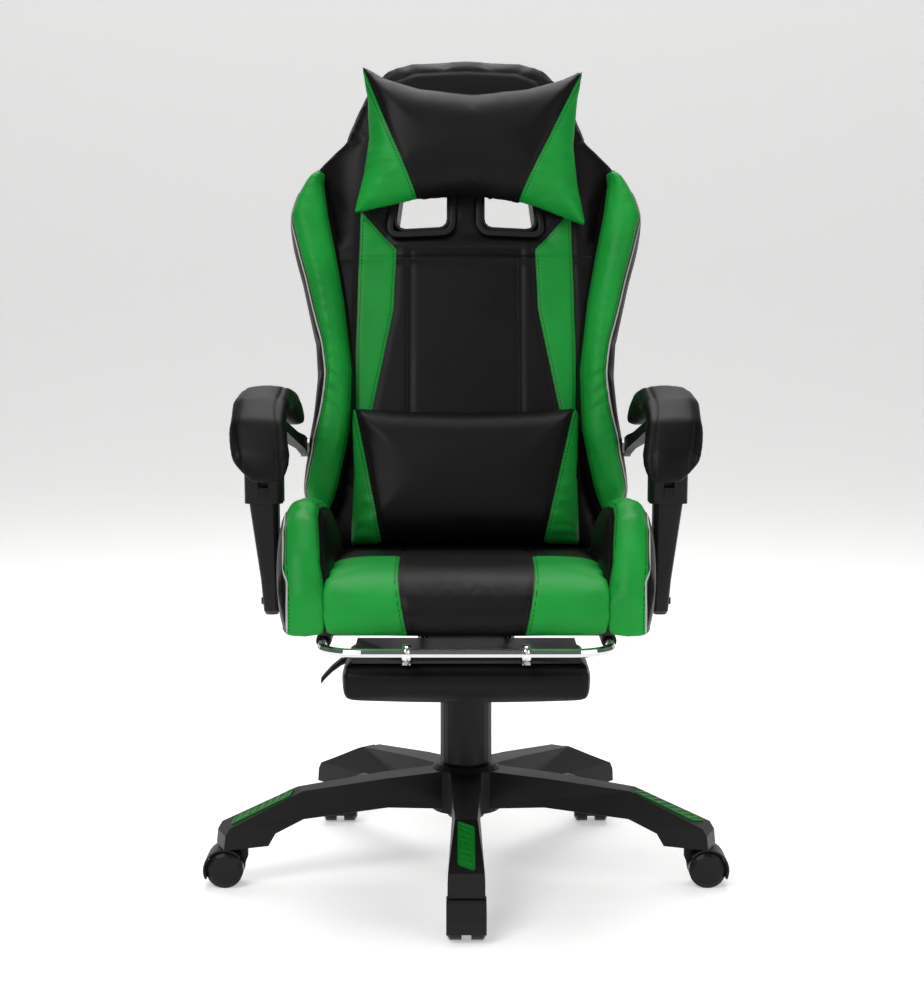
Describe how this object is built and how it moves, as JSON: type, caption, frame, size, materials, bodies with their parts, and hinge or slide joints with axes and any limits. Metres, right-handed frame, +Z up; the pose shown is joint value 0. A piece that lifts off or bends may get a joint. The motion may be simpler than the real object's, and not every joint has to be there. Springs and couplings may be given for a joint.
{
  "type": "gaming chair",
  "caption": "Swivel chair with a bucket seat, reclining winged back, linked armrests, slide-out footrest, neck and lumbar pillows, and a star base on casters.",
  "frame": {"origin": "on the floor, at the middle of the chair's box", "axes": "+Z up, the sitter faces -Y, +X to the sitter's left"},
  "size_m": [0.7062, 0.7864, 1.1348],
  "materials": {
    "black_nylon": "satin",
    "wheel_nylon": "satin",
    "black_steel": "satin",
    "bright_steel": "satin",
    "chrome": "polished",
    "board": "matte",
    "black_upholstery": "satin",
    "green_upholstery": "satin",
    "black_leatherette": "satin"
  },
  "bodies": {
    "base": {"star_base": "black_nylon", "gas_tube": "black_steel", "gas_bushing": "black_nylon", "cover_lower": "black_nylon"},
    "cover_middle": {"cover_middle": "black_nylon"},
    "lift": {"gas_piston": "bright_steel", "cover_upper": "black_nylon"},
    "carrier": {"tilt_housing": "black_steel", "tilt_pin": "bright_steel"},
    "tension_knob": {"tension_knob": "black_nylon"},
    "lever_bush": {"lever_bush": "black_steel"},
    "height_lever": {"lever_rod": "black_steel", "lever_grip": "black_nylon"},
    "seat": {"tilt_plate": "black_steel", "seat_frame": "black_steel", "seat_cushion": "black_upholstery", "seat_bolster_l": "green_upholstery", "seat_bolster_r": "green_upholstery", "recliner_lower_l": "black_steel", "recliner_lower_r": "black_steel", "recliner_cover_l": "black_nylon", "recliner_cover_r": "black_nylon", "arm_bracket_l": "black_steel", "arm_bracket_r": "black_steel", "footrest_guide_l": "black_nylon", "footrest_guide_r": "black_nylon"},
    "recline_lever": {"recline_lever": "black_nylon"},
    "footrest_slide": {"footrest_tube": "chrome"},
    "footrest_flip": {"footrest_board": "board", "footrest_cushion": "black_upholstery"},
    "back": {"back_frame": "black_steel", "back_cushion": "black_upholstery", "back_rear_panel": "black_upholstery", "back_wing_l": "green_upholstery", "back_wing_r": "green_upholstery", "head_cushion": "black_upholstery", "window_bezel_l": "black_nylon", "window_bezel_r": "black_nylon", "recliner_upper_l": "black_steel", "recliner_upper_r": "black_steel", "arm_stud_l": "bright_steel", "arm_stud_r": "bright_steel"},
    "neck_pillow": {"neck_pillow": "black_upholstery"},
    "lumbar_pillow": {"lumbar_pillow": "black_upholstery"},
    "arm_l": {"arm_frame_l": "black_nylon", "armrest_pad_l": "black_leatherette"},
    "arm_leg_l": {"arm_leg_l": "black_nylon"},
    "arm_r": {"arm_frame_r": "black_nylon", "armrest_pad_r": "black_leatherette"},
    "arm_leg_r": {"arm_leg_r": "black_nylon"},
    "caster_1": {"caster_fork_1": "black_nylon"},
    "wheels_1": {"caster_wheels_1": "wheel_nylon"},
    "caster_2": {"caster_fork_2": "black_nylon"},
    "wheels_2": {"caster_wheels_2": "wheel_nylon"},
    "caster_3": {"caster_fork_3": "black_nylon"},
    "wheels_3": {"caster_wheels_3": "wheel_nylon"},
    "caster_4": {"caster_fork_4": "black_nylon"},
    "wheels_4": {"caster_wheels_4": "wheel_nylon"},
    "caster_5": {"caster_fork_5": "black_nylon"},
    "wheels_5": {"caster_wheels_5": "wheel_nylon"}
  },
  "joints": [
    {"name": "gas_lift", "type": "slide", "parent": "base", "child": "lift", "axis": [0, 0, 1], "range_m": [0, 0.08]},
    {"name": "cover_slide", "type": "slide", "parent": "base", "child": "cover_middle", "axis": [0, 0, 1], "range_m": [0, 0.04]},
    {"name": "seat_swivel", "type": "hinge", "parent": "lift", "child": "carrier", "pos_m": [0, -0.0244, 0.3], "axis": [0, 0, 1], "continuous": true},
    {"name": "tension_knob_turn", "type": "hinge", "parent": "carrier", "child": "tension_knob", "pos_m": [0, -0.0824, 0.28], "axis": [0, 0, 1], "range_deg": [-720, 720]},
    {"name": "height_lever_lift", "type": "hinge", "parent": "carrier", "child": "lever_bush", "pos_m": [-0.055, -0.0594, 0.303], "axis": [0, 1, 0], "range_deg": [0, 8], "stiffness_Nm_per_rad": 6, "springref_deg": -6.88},
    {"name": "tilt_lock_pull", "type": "slide", "parent": "lever_bush", "child": "height_lever", "axis": [-1, 0, 0], "range_m": [0, 0.01]},
    {"name": "seat_tilt", "type": "hinge", "parent": "carrier", "child": "seat", "pos_m": [0, -0.0944, 0.337], "axis": [-1, 0, 0], "range_deg": [0, 12], "stiffness_Nm_per_rad": 150, "springref_deg": -25.78},
    {"name": "recline_lever_lift", "type": "hinge", "parent": "seat", "child": "recline_lever", "pos_m": [-0.24, 0.1656, 0.405], "axis": [-1, 0, 0], "range_deg": [0, 16], "stiffness_Nm_per_rad": 0.6, "springref_deg": -22.92},
    {"name": "footrest_extend", "type": "slide", "parent": "seat", "child": "footrest_slide", "axis": [0, -1, 0], "range_m": [0, 0.2]},
    {"name": "footrest_flip", "type": "hinge", "parent": "footrest_slide", "child": "footrest_flip", "pos_m": [0, -0.3144, 0.351], "axis": [-1, 0, 0], "range_deg": [0, 180]},
    {"name": "back_recline", "type": "hinge", "parent": "seat", "child": "back", "pos_m": [0, 0.1656, 0.405], "axis": [-1, 0, 0], "range_deg": [0, 45]},
    {"name": "neck_pillow_slide", "type": "slide", "parent": "back", "child": "neck_pillow", "axis": [0, 0.2756, 0.9613], "range_m": [-0.08, 0.02]},
    {"name": "lumbar_pillow_slide", "type": "slide", "parent": "back", "child": "lumbar_pillow", "axis": [0, 0.2756, 0.9613], "range_m": [0, 0.15]},
    {"name": "arm_link_l", "type": "hinge", "parent": "back", "child": "arm_l", "pos_m": [0.2345, 0.1556, 0.57], "axis": [-1, 0, 0], "range_deg": [-45, 0]},
    {"name": "arm_leg_link_l", "type": "hinge", "parent": "seat", "child": "arm_leg_l", "pos_m": [0.265, -0.0444, 0.375], "axis": [-1, 0, 0], "range_deg": [0, 45]},
    {"name": "arm_link_r", "type": "hinge", "parent": "back", "child": "arm_r", "pos_m": [-0.2345, 0.1556, 0.57], "axis": [-1, 0, 0], "range_deg": [-45, 0]},
    {"name": "arm_leg_link_r", "type": "hinge", "parent": "seat", "child": "arm_leg_r", "pos_m": [-0.265, -0.0444, 0.375], "axis": [-1, 0, 0], "range_deg": [0, 45]},
    {"name": "caster_swivel_1", "type": "hinge", "parent": "base", "child": "caster_1", "pos_m": [0, -0.3444, 0.054], "axis": [0, 0, 1], "continuous": true},
    {"name": "wheel_roll_1", "type": "hinge", "parent": "caster_1", "child": "wheels_1", "pos_m": [0, -0.3644, 0.025], "axis": [1, 0, 0], "continuous": true},
    {"name": "caster_swivel_2", "type": "hinge", "parent": "base", "child": "caster_2", "pos_m": [0.30434, -0.12329, 0.054], "axis": [0, 0, 1], "continuous": true},
    {"name": "wheel_roll_2", "type": "hinge", "parent": "caster_2", "child": "wheels_2", "pos_m": [0.32434, -0.12329, 0.025], "axis": [0, 1, 0], "continuous": true},
    {"name": "caster_swivel_3", "type": "hinge", "parent": "base", "child": "caster_3", "pos_m": [0.18809, 0.23448, 0.054], "axis": [0, 0, 1], "continuous": true},
    {"name": "wheel_roll_3", "type": "hinge", "parent": "caster_3", "child": "wheels_3", "pos_m": [0.18809, 0.21449, 0.025], "axis": [1, 0, 0], "continuous": true},
    {"name": "caster_swivel_4", "type": "hinge", "parent": "base", "child": "caster_4", "pos_m": [-0.18809, 0.23448, 0.054], "axis": [0, 0, 1], "continuous": true},
    {"name": "wheel_roll_4", "type": "hinge", "parent": "caster_4", "child": "wheels_4", "pos_m": [-0.18809, 0.21449, 0.025], "axis": [1, 0, 0], "continuous": true},
    {"name": "caster_swivel_5", "type": "hinge", "parent": "base", "child": "caster_5", "pos_m": [-0.30434, -0.12329, 0.054], "axis": [0, 0, 1], "continuous": true},
    {"name": "wheel_roll_5", "type": "hinge", "parent": "caster_5", "child": "wheels_5", "pos_m": [-0.32434, -0.12329, 0.025], "axis": [0, -1, 0], "continuous": true}
  ],
  "couplings": [
    {"joint": "cover_slide", "follows": "gas_lift", "ratio": 0.5},
    {"joint": "arm_link_l", "follows": "back_recline", "ratio": -1},
    {"joint": "arm_leg_link_l", "follows": "back_recline", "ratio": 1},
    {"joint": "arm_link_r", "follows": "back_recline", "ratio": -1},
    {"joint": "arm_leg_link_r", "follows": "back_recline", "ratio": 1}
  ]
}
